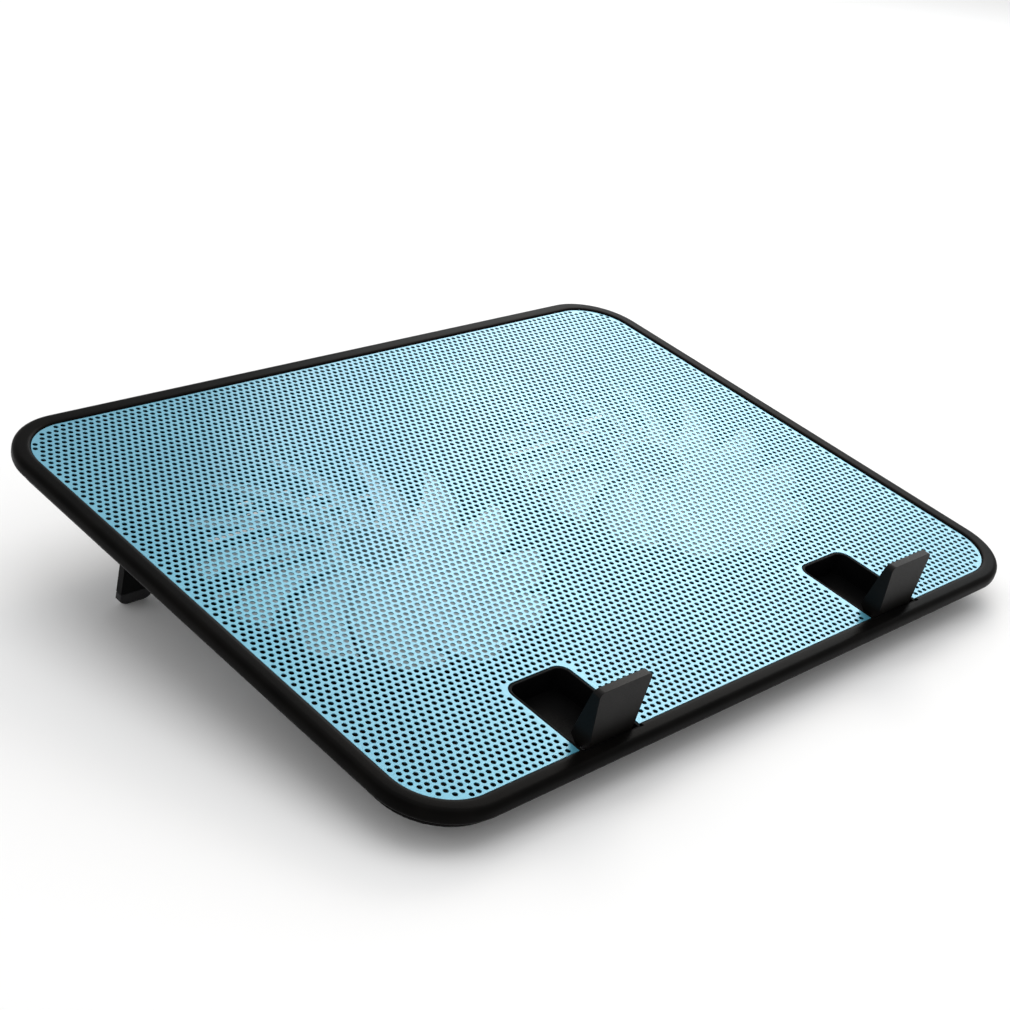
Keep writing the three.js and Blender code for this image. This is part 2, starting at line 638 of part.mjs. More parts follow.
// The tilted pad stands on z = 0, centred over the origin.
pad.rotation.x = TILT;
const coolingPad = new THREE.Group();
coolingPad.add(pad);
coolingPad.updateMatrixWorld(true);
const box = new THREE.Box3().setFromObject(coolingPad, true);
const middle = box.getCenter(new THREE.Vector3());
pad.position.set(-middle.x, -middle.y, -box.min.z);
coolingPad.updateMatrixWorld(true);

export default coolingPad;
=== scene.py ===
"""Looks of the laptop cooling pad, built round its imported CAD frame.

Every piece is drawn in the pad's own frame, in millimetres: the origin is the centre of the sheet's
top face, +X runs to the user's right, +Y to the rear and +Z straight out of the sheet. PAD turns that
frame into the row frame in metres, where the pad stands tilted on the floor.
"""

import json
import math

import bmesh
import bpy
from mathutils import Matrix, Vector
from mathutils.geometry import delaunay_2d_cdt


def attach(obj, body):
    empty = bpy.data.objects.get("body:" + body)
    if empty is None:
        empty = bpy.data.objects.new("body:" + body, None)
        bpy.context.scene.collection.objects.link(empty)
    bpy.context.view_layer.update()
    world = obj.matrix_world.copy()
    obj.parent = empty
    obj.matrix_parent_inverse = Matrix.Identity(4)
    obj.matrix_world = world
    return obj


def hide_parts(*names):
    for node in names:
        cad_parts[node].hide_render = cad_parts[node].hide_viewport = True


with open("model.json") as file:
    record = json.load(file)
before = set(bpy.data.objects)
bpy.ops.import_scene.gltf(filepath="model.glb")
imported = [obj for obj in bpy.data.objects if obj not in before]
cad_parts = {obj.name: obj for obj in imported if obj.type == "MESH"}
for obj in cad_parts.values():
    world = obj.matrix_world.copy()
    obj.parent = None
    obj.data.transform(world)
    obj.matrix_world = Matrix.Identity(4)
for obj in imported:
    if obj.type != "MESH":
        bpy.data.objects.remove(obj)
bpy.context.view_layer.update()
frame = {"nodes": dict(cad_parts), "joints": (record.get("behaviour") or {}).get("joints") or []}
scene = bpy.context.scene

SIDES = (("left", -1), ("right", 1))
CORNER_STEPS = 18  # facets of a quarter turn on the pad's outline


# ---------------------------------------------------------------- the pad's frame
def node_span(name, matrix):
    """Lowest and highest corners of a CAD node, seen through matrix."""
    points = [matrix @ vertex.co for vertex in frame["nodes"][name].data.vertices]
    low = Vector(min(p[axis] for p in points) for axis in range(3))
    high = Vector(max(p[axis] for p in points) for axis in range(3))
    return low, high


def pad_to_row():
    """The pad's tilt comes from a fan's axis, and its origin from the sheet."""
    spin = next(joint for joint in frame["joints"] if joint["name"] == "left_fan_spin")
    tilt = math.atan2(-spin["axis"][1], spin["axis"][2])
    turn = Matrix.Rotation(tilt, 4, "X")
    low, high = node_span("mesh_panel", turn.inverted())
    origin = turn @ Vector((0, (low.y + high.y) / 2, high.z))
    return Matrix.Translation(origin) @ turn @ Matrix.Scale(0.001, 4)


PAD = pad_to_row()


def span(name):
    """A CAD node's lowest and highest corners in the pad's frame, in millimetres."""
    return node_span(name, PAD.inverted())


def middle(name):
    low, high = span(name)
    return (low + high) / 2


# ---------------------------------------------------------------- sizes in millimetres
FRAME_LOW, FRAME_HIGH = span("top_frame")
SHEET_LOW, SHEET_HIGH = span("mesh_panel")
COVER_LOW, COVER_HIGH = span("bottom_cover")
WELL_LOW, WELL_HIGH = span("stop_well_right")
STOP_LOW, STOP_HIGH = span("stop_right")
STOP_PIN = middle("stop_pin_right")
FOOT_LOW, FOOT_HIGH = span("foot_right")
FOOT_PIN = middle("foot_pin_right")
SHOE_LOW, SHOE_HIGH = span("foot_shoe_right")
ROTOR_HIGH = span("fan_rotor_right")[1]
FAN = middle("fan_shaft_right")
BOARD_HIGH = span("usb_board")[1]

PAD_X = FRAME_HIGH.x
PAD_Y = FRAME_HIGH.y
PAD_RADIUS = 29.0
LIP_WIDTH = 7.0
LEDGE_INSET = 11.0
LEDGE_LOW = -3.0
CLEAR = 0.3  # air between two pieces

HOLE_PITCH = 3.2
HOLE_R = 1.08
SHEET_THICK = 0.35
HOLE_SIDES = 8
PLAIN_EDGE = 0.3  # metal left between the outermost holes and the sheet's edge

WELL_X = (WELL_LOW.x + WELL_HIGH.x) / 2
WELL_HALF = (WELL_HIGH.x - WELL_LOW.x) / 2
WELL_WALL = 1.2
WELL_CORNER = 5.2
WELL_STEP = (-123.4, -120.4)  # where the well's floor drops behind the hinge
WELL_FLOORS = (-6.4, -9.7)

TRAY_KNEE = -8.0
TRAY_FLOOR = -17.2
TRAY_BASE = {"half_x": 156.0, "front": -110.0, "rear": 124.0, "radius": 20.0}
TRAY_ROOM = {"half_x": 154.2, "front": -108.5, "rear": 122.2, "radius": 19.0}
POCKET = {"half": 8.0, "front": 32.5, "rear": 74.9, "ceiling": -12.3, "wall": 1.3}
DUCT = {"inner": 72.5, "outer": 74.0, "top": -3.5}
SLOT = {"pitch": 8.0, "width": 4.4, "reach": 66.0, "seat": 27.0, "rib": 5.0, "shortest": 8.0, "top": -15.0}
SLOT_EDGE = {"duct": 2.0, "pocket_side": 4.0, "pocket_front": 3.0}  # plastic left beside a slot
RIB = {"xs": (-150, 0, 150), "half": 0.8, "front": -100.0, "rear": -76.0, "height": 5.0}
LEAD_NOTCH = {"half": 3.0, "front": 5.0, "rear": 3.0, "height": 4.0}
SCREW = {"boss_r": 3.45, "bore_r": 1.5, "head_bore_r": 3.0, "head_seat": -8.2, "bore_low": -8.5,
         "frame_bore_top": -2.0}
REST_PAD = {"seat_r": 6.3, "seat_depth": 0.6}
USB_CUT = (116.0, 135.0)  # front and rear of the sockets' openings in the rear wall
ROOTED = 0.5  # how far a piece of the cover reaches into its floor
DEEP = -25.0  # any height below the cover

STOP = {"base_half": 10.8, "corner": 2.2, "tip": 3.2, "wall": 2.0, "skin": 0.8,
        "barrel_half": 10.4, "barrel_r": 2.8, "bore_r": 1.3, "heel": 1.2}
FOOT_BORE_R = 1.0
SHOE = {"side": 2.1, "corner": 1.5, "flat": 0.4}
BEYOND = 20.0  # reaches past both sides of a stop or a foot


# ---------------------------------------------------------------- materials
def node_maker(material):
    """Returns the material's shader and functions that add a node or a link."""
    material.use_nodes = True
    tree = material.node_tree
    shader = tree.nodes["Principled BSDF"]

    def add(kind, **inputs):
        node = tree.nodes.new(kind)
        for name, value in inputs.items():
            node.inputs[name.replace("_", " ")].default_value = value
        return node

    return shader, add, tree.links.new


def noise_node(add, link, scale, detail=3.0, stretch=None):
    """Noise that is fixed to the piece; scale counts its cells per metre."""
    place = add("ShaderNodeTexCoord")
    texture = add("ShaderNodeTexNoise", Scale=scale, Detail=detail)
    if stretch:
        mapping = add("ShaderNodeMapping", Scale=stretch)
        link(place.outputs["Object"], mapping.inputs["Vector"])
        link(mapping.outputs["Vector"], texture.inputs["Vector"])
    else:
        link(place.outputs["Object"], texture.inputs["Vector"])
    return texture


def ramp_node(add, link, source, stops):
    ramp = add("ShaderNodeValToRGB")
    elements = ramp.color_ramp.elements
    for element, (position, colour) in zip(elements, stops):
        element.position = position
        element.color = (*colour, 1)
    link(source, ramp.inputs["Fac"])
    return ramp.outputs["Color"]


def span_node(add, link, source, low, high):
    """Turns a 0 to 1 noise into low to high."""
    scaled = add("ShaderNodeMapRange", To_Min=low, To_Max=high, From_Min=0.3, From_Max=0.7)
    link(source, scaled.inputs["Value"])
    return scaled.outputs["Result"]


def surface(name, dark, light, rough, patch=60, grain=2500, bump=0.1, depth=0.00005,
            stretch=None, **shader_values):
    """A moulded, painted or metal finish: patches of two near colours, uneven gloss and a grain."""
    material = bpy.data.materials.new(name)
    shader, add, link = node_maker(material)
    patches = noise_node(add, link, patch, stretch=stretch).outputs["Fac"]
    colours = ramp_node(add, link, patches, ((0.35, dark), (0.65, light)))
    link(colours, shader.inputs["Base Color"])
    fine = noise_node(add, link, grain, stretch=stretch).outputs["Fac"]
    link(span_node(add, link, fine, *rough), shader.inputs["Roughness"])
    relief = add("ShaderNodeBump", Strength=bump, Distance=depth)
    link(fine, relief.inputs["Height"])
    link(relief.outputs["Normal"], shader.inputs["Normal"])
    for socket, value in shader_values.items():
        shader.inputs[socket.replace("_", " ")].default_value = value
    return material


MATERIALS = {
    "frame_plastic": surface(
        "satin_black", (0.0015, 0.0014, 0.0013), (0.003, 0.0027, 0.0024), (0.28, 0.38), bump=0.12,
        Specular_IOR_Level=0.022),
    "cover_plastic": surface(
        "textured_black", (0.0012, 0.0012, 0.0012), (0.0025, 0.0025, 0.0026), (0.45, 0.6),
        grain=1400, bump=0.5, depth=0.0001, Specular_IOR_Level=0.04),
    "stop_plastic": surface(
        "stop_black", (0.003, 0.0027, 0.0025), (0.006, 0.0054, 0.005), (0.36, 0.48), bump=0.2,
        Specular_IOR_Level=0.12),
    "foot_plastic": surface(
        "foot_black", (0.002, 0.002, 0.002), (0.004, 0.004, 0.004), (0.42, 0.55), bump=0.25,
        Specular_IOR_Level=0.08),
    "rubber": surface(
        "rubber", (0.012, 0.012, 0.013), (0.022, 0.022, 0.023), (0.75, 0.9),
        grain=900, bump=0.4, depth=0.0001),
    "blue_mesh": surface(
        "blue_sheet", (0.070, 0.30, 0.42), (0.090, 0.34, 0.46), (0.36, 0.48), patch=18,
        grain=3000, bump=0.08, Metallic=0.55, Coat_Weight=0.85, Coat_Roughness=0.2),
    "fan_plastic": surface(
        "fan_pale", (0.58, 0.66, 0.68), (0.64, 0.72, 0.74), (0.22, 0.32), patch=30, bump=0.05,
        Coat_Weight=1.0, Coat_Roughness=0.2),
    "label": surface(
        "label_grey", (0.05, 0.09, 0.10), (0.07, 0.11, 0.12), (0.4, 0.55), bump=0.1),
    "steel": surface(
        "plated_steel", (0.50, 0.50, 0.51), (0.62, 0.62, 0.63), (0.22, 0.38), Metallic=1.0),
    "brass": surface(
        "bearing_metal", (0.50, 0.36, 0.14), (0.62, 0.46, 0.20), (0.35, 0.5), bump=0.3,
        Metallic=1.0),
    "magnet": surface("ferrite", (0.03, 0.03, 0.03), (0.05, 0.05, 0.05), (0.6, 0.8), bump=0.4),
    "stator": surface(
        "lamination", (0.22, 0.22, 0.23), (0.34, 0.34, 0.35), (0.35, 0.5), Metallic=1.0,
        stretch=(1, 1, 30)),
    "winding": surface(
        "enamelled_wire", (0.40, 0.13, 0.04), (0.52, 0.20, 0.07), (0.2, 0.35), Metallic=0.9),
    "board": surface(
        "green_board", (0.010, 0.09, 0.045), (0.014, 0.13, 0.06), (0.25, 0.4), patch=300,
        bump=0.1),
    "chip": surface("chip_black", (0.012, 0.012, 0.013), (0.02, 0.02, 0.02), (0.4, 0.6)),
    "cable": surface("wire_black", (0.01, 0.01, 0.01), (0.02, 0.02, 0.02), (0.4, 0.55)),
}


# ---------------------------------------------------------------- shape helpers
def arc(cx, cy, radius, start, end, steps):
    """Points on an arc; the angles are in degrees."""
    turns = [math.radians(start + (end - start) * i / steps) for i in range(steps + 1)]
    return [(cx + radius * math.cos(turn), cy + radius * math.sin(turn)) for turn in turns]


def curve_to(start, control, end, steps):
    """Points of a quadratic curve after its start."""
    points = []
    for i in range(1, steps + 1):
        t = i / steps
        points.append(tuple(
            (1 - t) ** 2 * a + 2 * t * (1 - t) * b + t * t * c
            for a, b, c in zip(start, control, end)))
    return points


def rounded(x0, x1, y0, y1, radius, steps=CORNER_STEPS):
    """A rounded rectangle, anticlockwise from its right-hand side."""
    corners = ((x1, y1, -1, -1, 0), (x0, y1, 1, -1, 90), (x0, y0, 1, 1, 180), (x1, y0, -1, 1, 270))
    points = []
    for x, y, sx, sy, start in corners:
        points += arc(x + sx * radius, y + sy * radius, radius, start, start + 90, steps)
    return points


def pad_outline(inset):
    """The pad's own outline moved inwards."""
    return rounded(inset - PAD_X, PAD_X - inset, inset - PAD_Y, PAD_Y - inset, PAD_RADIUS - inset)


def tray_outline(size, inset=0.0):
    return rounded(
        inset - size["half_x"], size["half_x"] - inset,
        size["front"] + inset, size["rear"] - inset, size["radius"] - inset)


def at_height(points, z):
    return [(x, y, z) for x, y in points]


def add_skin(bm, rings, closed_row=False):
    """Skins rings with equal point counts, and caps the ends unless the row closes on itself."""
    rows = [[bm.verts.new(point) for point in ring] for ring in rings]
    pairs = list(zip(rows, rows[1:]))
    if closed_row:
        pairs.append((rows[-1], rows[0]))
    else:
        bm.faces.new(reversed(rows[0]))
        bm.faces.new(rows[-1])
    for low, high in pairs:
        for i in range(len(low)):
            j = (i + 1) % len(low)
            bm.faces.new((low[i], low[j], high[j], high[i]))


def add_block(bm, x0, x1, y0, y1, z0, z1):
    flat = ((x0, y0), (x1, y0), (x1, y1), (x0, y1))
    add_skin(bm, [at_height(flat, z0), at_height(flat, z1)])


def add_rod(bm, x, y, radius, z0, z1, sides=32, chamfer=0.0):
    rings = [(radius - chamfer, z0), (radius, z0 + chamfer), (radius, z1 - chamfer),
             (radius - chamfer, z1)]
    if not chamfer:
        rings = [rings[1], rings[2]]
    add_skin(bm, [at_height(arc(x, y, r, 0, 360, sides)[:-1], z) for r, z in rings])


def add_turned(bm, x, y, profile, sides=64):
    """A closed [radius, z] profile turned round an upright axis."""
    add_skin(bm, [at_height(arc(x, y, r, 0, 360, sides)[:-1], z) for r, z in profile], True)


def add_side_rod(bm, x0, x1, y, z, radius, sides=32):
    circle = arc(y, z, radius, 0, 360, sides)[:-1]
    add_skin(bm, [[(x, cy, cz) for cy, cz in circle] for x in (x0, x1)])


def add_prism_x(bm, outline, x0, x1):
    """A side outline of (y, z) points given width from x0 to x1."""
    add_skin(bm, [[(x, y, z) for y, z in outline] for x in (x0, x1)])


def add_prism_y(bm, outline, y0, y1):
    """A front outline of (x, z) points given thickness from y0 to y1."""
    add_skin(bm, [[(x, y, z) for x, z in outline] for y in (y0, y1)])


def add_tube(bm, points, radius, sides=10):
    """A round tube along points."""
    rings = []
    side = Vector((0, 0, 1))
    for i, point in enumerate(points):
        before = Vector(points[max(i - 1, 0)])
        after = Vector(points[min(i + 1, len(points) - 1)])
        along = (after - before).normalized()
        across = along.cross(side).normalized()
        up = across.cross(along)
        rings.append([
            Vector(point) + radius * (math.cos(turn) * across + math.sin(turn) * up)
            for turn in (2 * math.pi * k / sides for k in range(sides))])
    add_skin(bm, rings)


def make_mesh(name, *builders):
    """One mesh from functions that each draw into a bmesh."""
    bm = bmesh.new()
    for build in builders:
        build(bm)
    bmesh.ops.recalc_face_normals(bm, faces=bm.faces)
    mesh = bpy.data.meshes.new(name)
    bm.to_mesh(mesh)
    bm.free()
    return mesh


def boolean(mesh, other, operation):
    """mesh joined with, cut by or kept inside other. Both are closed and other is used up."""
    objects = [bpy.data.objects.new("boolean", data) for data in (mesh, other)]
    for thing in objects:
        scene.collection.objects.link(thing)
    modifier = objects[0].modifiers.new("boolean", "BOOLEAN")
    modifier.object = objects[1]
    modifier.operation = operation
    modifier.solver = "MANIFOLD"
    graph = bpy.context.evaluated_depsgraph_get()
    result = bpy.data.meshes.new_from_object(objects[0].evaluated_get(graph))
    for thing in objects:
        bpy.data.objects.remove(thing)
    for used in (mesh, other):
        bpy.data.meshes.remove(used)
    return result


def piece(name, mesh, body, slot, nodes=(), material=None, sharp=32, bevel=0.0):
    """Places a mesh drawn in the pad's frame, and gives it its finish and its body."""
    mesh.name = name
    mesh.transform(PAD)
    mesh.materials.clear()
    mesh.materials.append(MATERIALS[material or slot])
    mesh.shade_smooth()
    mesh.set_sharp_from_angle(angle=math.radians(sharp))
    thing = bpy.data.objects.new(name, mesh)
    scene.collection.objects.link(thing)
    if bevel:
        edge = thing.modifiers.new("edge", "BEVEL")
        edge.width = bevel / 1000
        edge.segments = 2
        edge.limit_method = "ANGLE"
        edge.angle_limit = math.radians(40)
        edge.harden_normals = True
    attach(thing, body)
    if nodes:
        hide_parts(*nodes)
    return thing


# ---------------------------------------------------------------- places of repeated parts
def screw_places():
    return [(number, middle(f"cover_screw_{number}")) for number in range(1, 9)]


def rest_pads():
    return [(f"{end}_{side}", middle(f"rubber_pad_{end}_{side}"))
            for end in ("front", "rear") for side, _ in SIDES]


# ---------------------------------------------------------------- perforated sheet
def sheet_edge():
    """The sheet's outline, anticlockwise, with a notch for each stop's well in its front edge."""
    inset = LIP_WIDTH + CLEAR
    outline = pad_outline(inset)
    front = inset - PAD_Y
    notch_rear = WELL_HIGH.y + CLEAR
    notches = []
    for _, sign in SIDES:
        x0, x1 = (sign * WELL_X + side * (WELL_HALF + CLEAR) for side in (-1, 1))
        corner = WELL_CORNER + CLEAR
        notches.append((x0, front))
        notches += arc(x0 + corner, notch_rear - corner, corner, 180, 90, 8)
        notches += arc(x1 - corner, notch_rear - corner, corner, 90, 0, 8)
        notches.append((x1, front))
    first_right = 3 * (CORNER_STEPS + 1)
    return outline[:first_right] + notches + outline[first_right:]


def hole_allowed(x, y):
    """Holes keep clear of the sheet's edges, round its corners and round the wells."""
    margin = HOLE_R + PLAIN_EDGE
    inset = LIP_WIDTH + CLEAR + margin
    dx = max(0.0, abs(x) - (PAD_X - PAD_RADIUS))
    dy = max(0.0, abs(y) - (PAD_Y - PAD_RADIUS))
    inside = math.hypot(dx, dy) < PAD_RADIUS - inset
    notch = abs(abs(x) - WELL_X) < WELL_HALF + CLEAR + margin
    return inside and not (notch and y < WELL_HIGH.y + CLEAR + margin)


def hole_centres():
    """Staggered rows along X whose holes are all one pitch apart."""
    row_pitch = HOLE_PITCH * math.sqrt(3) / 2
    rows = int(PAD_Y / row_pitch)
    columns = int(PAD_X / HOLE_PITCH)
    for row in range(-rows, rows):
        for column in range(-columns, columns + 1):
            x = (column + (row % 2) / 2) * HOLE_PITCH
            y = (row + 0.5) * row_pitch
            if hole_allowed(x, y):
                yield x, y


def build_sheet():
    edge = sheet_edge()
    points = [Vector(point) for point in edge]
    loops = [range(len(edge))]
    for x, y in hole_centres():
        start = len(points)
        points += [Vector(point) for point in arc(x, y, HOLE_R, 22.5, 382.5, HOLE_SIDES)[:-1]]
        loops.append(range(start, start + HOLE_SIDES))
    borders = [(loop[i - 1], loop[i]) for loop in loops for i in range(len(loop))]
    flat = delaunay_2d_cdt(points, borders, [], 1, 1e-5)
    triangles = [face for face in flat[2] if not fills_hole(face, len(edge))]

    count = len(points)
    top = SHEET_HIGH.z
    bottom = top - SHEET_THICK
    vertices = [(p.x, p.y, z) for z in (top, bottom) for p in flat[0]]
    faces = [tuple(face) for face in triangles]
    faces += [tuple(index + count for index in reversed(face)) for face in triangles]
    faces += [(a, b, b + count, a + count) for a, b in borders]
    mesh = bpy.data.meshes.new("sheet")
    mesh.from_pydata(vertices, [], faces)
    bm = bmesh.new()
    bm.from_mesh(mesh)
    bmesh.ops.recalc_face_normals(bm, faces=bm.faces)
    bm.to_mesh(mesh)
    bm.free()
    piece("perforated_sheet", mesh, "base", "blue_mesh", ["mesh_panel"], sharp=50)


def fills_hole(face, edge_count):
    """True for a triangle between three points of the same hole."""
    holes = {(index - edge_count) // HOLE_SIDES for index in face}
    return len(holes) == 1 and min(face) >= edge_count


# ---------------------------------------------------------------- top frame
def frame_section():
    """(inset, z) points round the rim, from its outer foot over the top to its inner ledge."""
    top = FRAME_HIGH.z
    bottom = FRAME_LOW.z
    outer_foot = [(1.6, bottom), *curve_to((1.6, bottom), (0.2, bottom), (0, -3.2), 5)]
    shoulder = [(0, -1.5), *curve_to((0, -1.5), (0.1, top), (2.6, top), 8)]
    lip = [(5.0, top), *curve_to((5.0, top), (LIP_WIDTH, top), (LIP_WIDTH, -0.1), 5)]
    ledge_top = SHEET_LOW.z - CLEAR
    ledge = [(LIP_WIDTH, ledge_top), (LEDGE_INSET, ledge_top), (LEDGE_INSET, LEDGE_LOW),
             (LEDGE_INSET - 1, bottom)]
    return outer_foot + shoulder + lip + ledge


def build_frame():
    rings = [at_height(pad_outline(inset), z) for inset, z in frame_section()]
    rim = make_mesh("frame", lambda bm: add_skin(bm, rings, True))

    def notches(bm):
        for _, sign in SIDES:
            x0, x1 = (sign * WELL_X + side * (WELL_HALF + CLEAR) for side in (-1, 1))
            add_block(bm, x0, x1, WELL_LOW.y - CLEAR, WELL_HIGH.y,
                      FRAME_LOW.z - 1, FRAME_HIGH.z + 1)
        for _, place in screw_places():
            add_rod(bm, place.x, place.y, SCREW["bore_r"],
                    FRAME_LOW.z - 1, SCREW["frame_bore_top"], 16)

    rim = boolean(rim, make_mesh("notches", notches), "DIFFERENCE")
    piece("frame_rim", rim, "base", "frame_plastic", ["top_frame"])


# ---------------------------------------------------------------- bottom cover
def slot_rows(sign):
    """Ends and height of each air slot under one fan: (x0, x1, y)."""
    rows = int(SLOT["reach"] / SLOT["pitch"])
    outer_limit = middle("foot_right").x - POCKET["half"] - SLOT_EDGE["pocket_side"] - FAN.x
    for row in range(-rows, rows + 1):
        dy = row * SLOT["pitch"]
        y = FAN.y + dy
        chord = math.sqrt(SLOT["reach"] ** 2 - dy ** 2) - SLOT_EDGE["duct"]
        seat = math.sqrt(max(0.0, SLOT["seat"] ** 2 - dy ** 2))
        inner = max(seat, SLOT["rib"])
        for side in (-1, 1):
            behind = y + SLOT["width"] > POCKET["front"] - SLOT_EDGE["pocket_front"]
            beside_pocket = side == sign and behind
            reach = min(chord, outer_limit) if beside_pocket else chord
            if reach - inner >= SLOT["shortest"]:
                ends = sorted(sign * FAN.x + side * end for end in (inner, reach))
                yield ends[0], ends[1], y


def tray_rings():
    """The cover's outside from its rounded lower edge up its slanted wall to the frame."""
    base = TRAY_BASE
    low, knee, top = COVER_LOW.z, TRAY_KNEE, COVER_HIGH.z
    rings = [at_height(tray_outline(base, inset), low + lift)
             for inset, lift in ((2.4, 0), (1.1, 0.12), (0.3, 0.5))]
    wall_low = at_height(tray_outline(base), low + 1.0)
    wall_high = at_height(pad_outline(3.9), knee - 0.5)
    rings.append(wall_low)
    rings.append([tuple(a + (b - a) * 0.5 for a, b in zip(p, q))
                  for p, q in zip(wall_low, wall_high)])
    rings.append(wall_high)
    rings.append(at_height(pad_outline(3.6), knee + 0.1))
    rings.append(at_height(pad_outline(3.5), knee + 0.6))
    rings.append(at_height(pad_outline(3.4), top))
    return rings


def build_cover():
    outside = make_mesh("outside", lambda bm: add_skin(bm, tray_rings()))
    limit = outside.copy()
    room = make_mesh("room", lambda bm: add_skin(bm, [
        at_height(tray_outline(TRAY_ROOM), TRAY_FLOOR),
        at_height(pad_outline(5.1), TRAY_KNEE),
        at_height(pad_outline(4.9), COVER_HIGH.z + 1)]))
    cover = boolean(outside, room, "DIFFERENCE")

    def ducts(bm):
        for _, sign in SIDES:
            inner, outer = DUCT["inner"], DUCT["outer"]
            low, high = TRAY_FLOOR - ROOTED, DUCT["top"]
            profile = [(inner, low), (outer, low), (outer, high), (inner, high)]
            add_turned(bm, sign * FAN.x, FAN.y, profile, 128)

    def bosses(bm):
        for _, place in screw_places():
            add_rod(bm, place.x, place.y, SCREW["boss_r"], COVER_LOW.z, COVER_HIGH.z, 32)
        for _, sign in SIDES:
            x = sign * FOOT_PIN.x
            half = POCKET["half"] + POCKET["wall"]
            add_block(bm, x - half, x + half, POCKET["front"] - POCKET["wall"],
                      POCKET["rear"] + POCKET["wall"], COVER_LOW.z, POCKET["ceiling"] + 1)
        for x in RIB["xs"]:
            add_block(bm, x - RIB["half"], x + RIB["half"], RIB["front"], RIB["rear"],
                      TRAY_FLOOR - ROOTED, TRAY_FLOOR + RIB["height"])

    inner = boolean(make_mesh("ducts", ducts), make_mesh("bosses", bosses), "UNION")
    inner = boolean(inner, limit, "INTERSECT")
    cover = boolean(cover, inner, "UNION")

    def pockets(bm):
        for _, sign in SIDES:
            x = sign * FOOT_PIN.x
            add_block(bm, x - POCKET["half"], x + POCKET["half"], POCKET["front"], POCKET["rear"],
                      DEEP, POCKET["ceiling"])
            duct_x, duct_rear = sign * FAN.x, FAN.y + DUCT["outer"]
            add_block(bm, duct_x - LEAD_NOTCH["half"], duct_x + LEAD_NOTCH["half"],
                      duct_rear - LEAD_NOTCH["front"], duct_rear + LEAD_NOTCH["rear"],
                      TRAY_FLOOR, TRAY_FLOOR + LEAD_NOTCH["height"])
            half_width = SLOT["width"] / 2
            for x0, x1, y in slot_rows(sign):
                ends = rounded(x0, x1, y - half_width, y + half_width, half_width - 0.02, 5)
                add_skin(bm, [at_height(ends, DEEP), at_height(ends, SLOT["top"])])
        for _, place in rest_pads():
            add_rod(bm, place.x, place.y, REST_PAD["seat_r"],
                    DEEP, COVER_LOW.z + REST_PAD["seat_depth"], 48)
        for _, place in screw_places():
            add_rod(bm, place.x, place.y, SCREW["head_bore_r"], DEEP, SCREW["head_seat"], 32)
        for number in (1, 2):
            low, high = span(f"usb_socket_{number}")
            add_block(bm, low.x - CLEAR, high.x + CLEAR, *USB_CUT, low.z - CLEAR, high.z + CLEAR)

    def bores(bm):
        for _, sign in SIDES:
            x = sign * FOOT_PIN.x
            half = POCKET["half"] + 1
            add_side_rod(bm, x - half, x + half, FOOT_PIN.y, FOOT_PIN.z, FOOT_BORE_R, 16)
        for _, place in screw_places():
            add_rod(bm, place.x, place.y, SCREW["bore_r"],
                    SCREW["bore_low"], COVER_HIGH.z + 1, 16)

    cover = boolean(cover, make_mesh("pockets", pockets), "DIFFERENCE")
    cover = boolean(cover, make_mesh("bores", bores), "DIFFERENCE")
    piece("cover_shell", cover, "base", "cover_plastic", ["bottom_cover"])


# ---------------------------------------------------------------- stops and wells
def well_plan(x, half, front, rear, corner):
    outline = [(x - half, front), (x + half, front)]
    outline += arc(x + half - corner, rear - corner, corner, 0, 90, 10)
    outline += arc(x - half + corner, rear - corner, corner, 90, 180, 10)
    return outline


def under_floor(x, lower):
    """What lies under the well's stepped floor."""
    floor_front, floor_rear = (height - lower for height in WELL_FLOORS)
    step_front, step_rear = (y - 0.4 * lower for y in WELL_STEP)
    outline = [(-PAD_Y, floor_front), (-PAD_Y, DEEP), (0, DEEP), (0, floor_rear),
               (step_rear, floor_rear), (step_front, floor_front)]
    return make_mesh("under", lambda bm: add_prism_x(bm, outline, x - BEYOND, x + BEYOND))


def build_well(name, sign):
    x = sign * WELL_X
    low, high = WELL_FLOORS[1] - 1, WELL_HIGH.z
    half = WELL_HALF - WELL_WALL
    front, rear, corner = WELL_LOW.y + 1, WELL_HIGH.y - WELL_WALL, WELL_CORNER - WELL_WALL
    outside = ((0, low), (0, high - 0.3), (0.1, high - 0.08), (0.3, high))
    inside = ((-0.5, low), (0, low + 2), (0, high - 0.35), (0.1, high - 0.1), (0.3, high + 0.02),
              (0.3, 5))
    shell = make_mesh("well", lambda bm: add_skin(bm, [
        at_height(well_plan(
            x, WELL_HALF - inset, WELL_LOW.y, WELL_HIGH.y - inset, WELL_CORNER - inset), z)
        for inset, z in outside]))
    hollow = make_mesh("hollow", lambda bm: add_skin(bm, [
        at_height(well_plan(x, half + flare, front, rear + flare, corner + flare), z)
        for flare, z in inside]))
    shell = boolean(shell, under_floor(x, 1), "DIFFERENCE")
    hollow = boolean(hollow, under_floor(x, 0), "DIFFERENCE")
    shell = boolean(shell, hollow, "DIFFERENCE")
    reach = WELL_HALF - CLEAR
    bore = make_mesh("bore", lambda bm: add_side_rod(
        bm, x - reach, x + reach, STOP_PIN.y, STOP_PIN.z, STOP["bore_r"], 20))
    shell = boolean(shell, bore, "DIFFERENCE")
    piece(f"well_{name}", shell, "base", "cover_plastic", [f"stop_well_{name}"])


